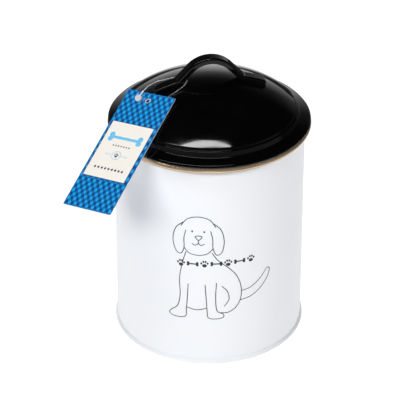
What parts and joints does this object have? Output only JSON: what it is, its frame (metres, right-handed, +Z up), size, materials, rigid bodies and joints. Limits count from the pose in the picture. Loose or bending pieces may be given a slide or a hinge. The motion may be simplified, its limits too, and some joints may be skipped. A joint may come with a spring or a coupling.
{
  "type": "pet food bin",
  "caption": "White cylindrical storage tin with a black stepped domed lid, pressed strap handle, silicone seal and a blue hang tag on a plastic loop.",
  "frame": {"origin": "centre of the bin's base, on the surface that it stands on", "axes": "+Z up along the bin's axis, +X along the handle, -Y the front with the printed dog"},
  "size_m": [0.2511, 0.2122, 0.291],
  "materials": {
    "white_enamel": "cool white gloss enamel on tinplate",
    "black_enamel": "black high-gloss enamel on pressed steel",
    "gold_lacquer": "clear gold lacquer over tinplate, as on the inside of a food tin",
    "silicone": "translucent white silicone",
    "seam_compound": "grey sealing compound",
    "weld_metal": "weld metal under black enamel",
    "tag_card": "printed coated card, bright blue check, cream panel",
    "clear_plastic": "clear moulded plastic"
  },
  "bodies": {
    "bin": {"body_wall": "white_enamel", "base_pan": "white_enamel", "base_sealant": "seam_compound"},
    "seal": {"seal_ring": "silicone"},
    "lid": {"lid_shell": "black_enamel", "lid_collar": "gold_lacquer", "collar_welds": "weld_metal", "handle_strap": "black_enamel", "handle_welds": "weld_metal", "tag_lock": "clear_plastic", "tag_plug": "clear_plastic", "tag_loop": "clear_plastic"},
    "tag": {"tag_card": "tag_card"}
  },
  "joints": [
    {"name": "lid_lift", "type": "slide", "parent": "bin", "child": "seal", "axis": [0, 0, 1], "range_m": [0, 0.12]},
    {"name": "lid_turn", "type": "hinge", "parent": "seal", "child": "lid", "pos_m": [0, 0, 0.213], "axis": [0, 0, 1], "continuous": true},
    {"name": "tag_swing", "type": "hinge", "parent": "lid", "child": "tag", "pos_m": [-0.0616, -0.0123, 0.2552], "axis": [-0.4203, -0.2728, 0.8654], "range_deg": [-20, 20]}
  ]
}
